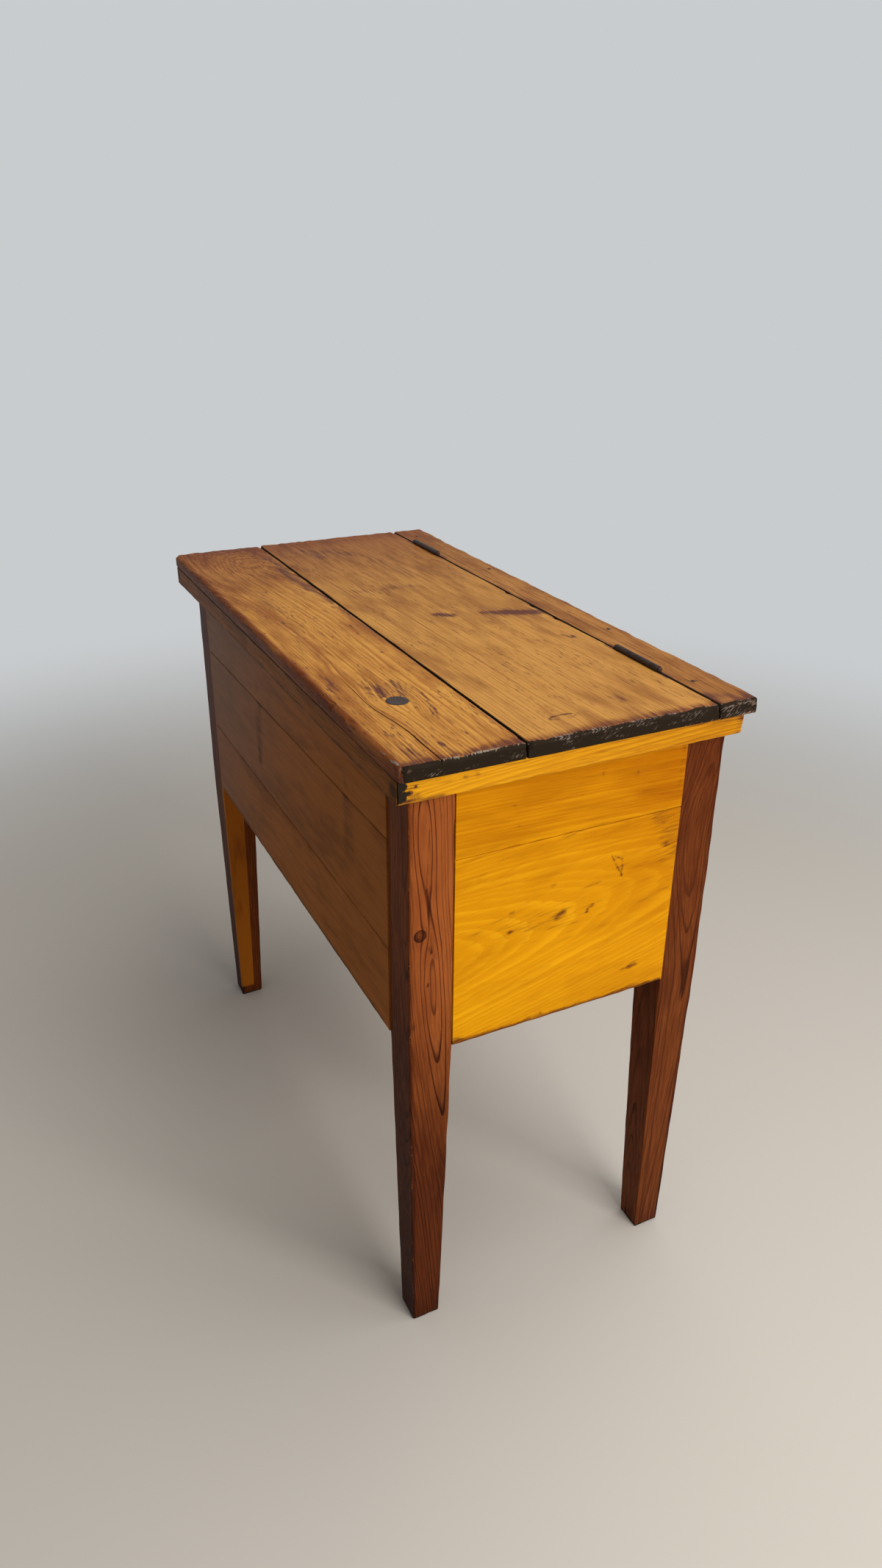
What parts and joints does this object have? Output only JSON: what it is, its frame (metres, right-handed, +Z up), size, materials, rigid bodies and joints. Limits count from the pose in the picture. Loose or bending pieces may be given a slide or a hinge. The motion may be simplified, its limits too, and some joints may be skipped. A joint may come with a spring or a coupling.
{
  "type": "dough box",
  "caption": "Board chest on four tapered legs, with a plank lid hinged to a fixed back strip.",
  "frame": {"origin": "on the floor, under the middle of the lid", "axes": "+X to the right along the box, +Y to the back (the hinge side), +Z up"},
  "size_m": [0.794, 0.39, 0.7463],
  "materials": {
    "hinge_screw_steel": "worn",
    "hinge_iron": "aged",
    "cut_nail_iron": "rusted",
    "leg_fir": "satin varnish",
    "inner_pine": "bare, aged",
    "plug_wood": "satin varnish",
    "lid_pine": "satin varnish",
    "cleat_pine": "satin varnish",
    "front_pine": "satin varnish",
    "end_pine": "satin varnish",
    "back_pine": "thin varnish"
  },
  "bodies": {
    "box": {"back_board_bottom": "back_pine", "back_board_middle": "back_pine", "back_board_top": "back_pine", "back_strip": "lid_pine", "bearer_nails": "cut_nail_iron", "cleat_nails": "cut_nail_iron", "floor_bearer_back": "inner_pine", "floor_bearer_front": "inner_pine", "floor_bearer_left": "inner_pine", "floor_bearer_right": "inner_pine", "floor_nails": "cut_nail_iron", "floor_plank_1": "inner_pine", "floor_plank_2": "inner_pine", "floor_plank_3": "inner_pine", "front_board_bottom": "front_pine", "front_board_middle": "front_pine", "front_board_top": "front_pine", "front_rail": "front_pine", "hinge_left_pin": "hinge_iron", "hinge_left_strip_leaf": "hinge_iron", "hinge_right_pin": "hinge_iron", "hinge_right_strip_leaf": "hinge_iron", "hinge_screws_strip": "hinge_screw_steel", "left_end_board_bottom": "end_pine", "left_end_board_top": "end_pine", "left_end_cleat": "cleat_pine", "leg_back_left": "leg_fir", "leg_back_right": "leg_fir", "leg_front_left": "leg_fir", "leg_front_right": "leg_fir", "rail_nails": "cut_nail_iron", "right_end_board_bottom": "end_pine", "right_end_board_top": "end_pine", "right_end_cleat": "cleat_pine", "strip_nails": "cut_nail_iron"},
    "lid": {"batten_nails": "cut_nail_iron", "hinge_left_lid_leaf": "hinge_iron", "hinge_right_lid_leaf": "hinge_iron", "hinge_screws_lid": "hinge_screw_steel", "lid_batten_left": "inner_pine", "lid_batten_right": "inner_pine", "lid_front_plank": "lid_pine", "lid_plug": "plug_wood", "lid_wide_plank": "lid_pine"}
  },
  "joints": [
    {"name": "lid_hinge", "type": "hinge", "parent": "box", "child": "lid", "pos_m": [0, 0.1472, 0.7428], "axis": [-1, 0, 0], "range_deg": [0, 180]}
  ]
}
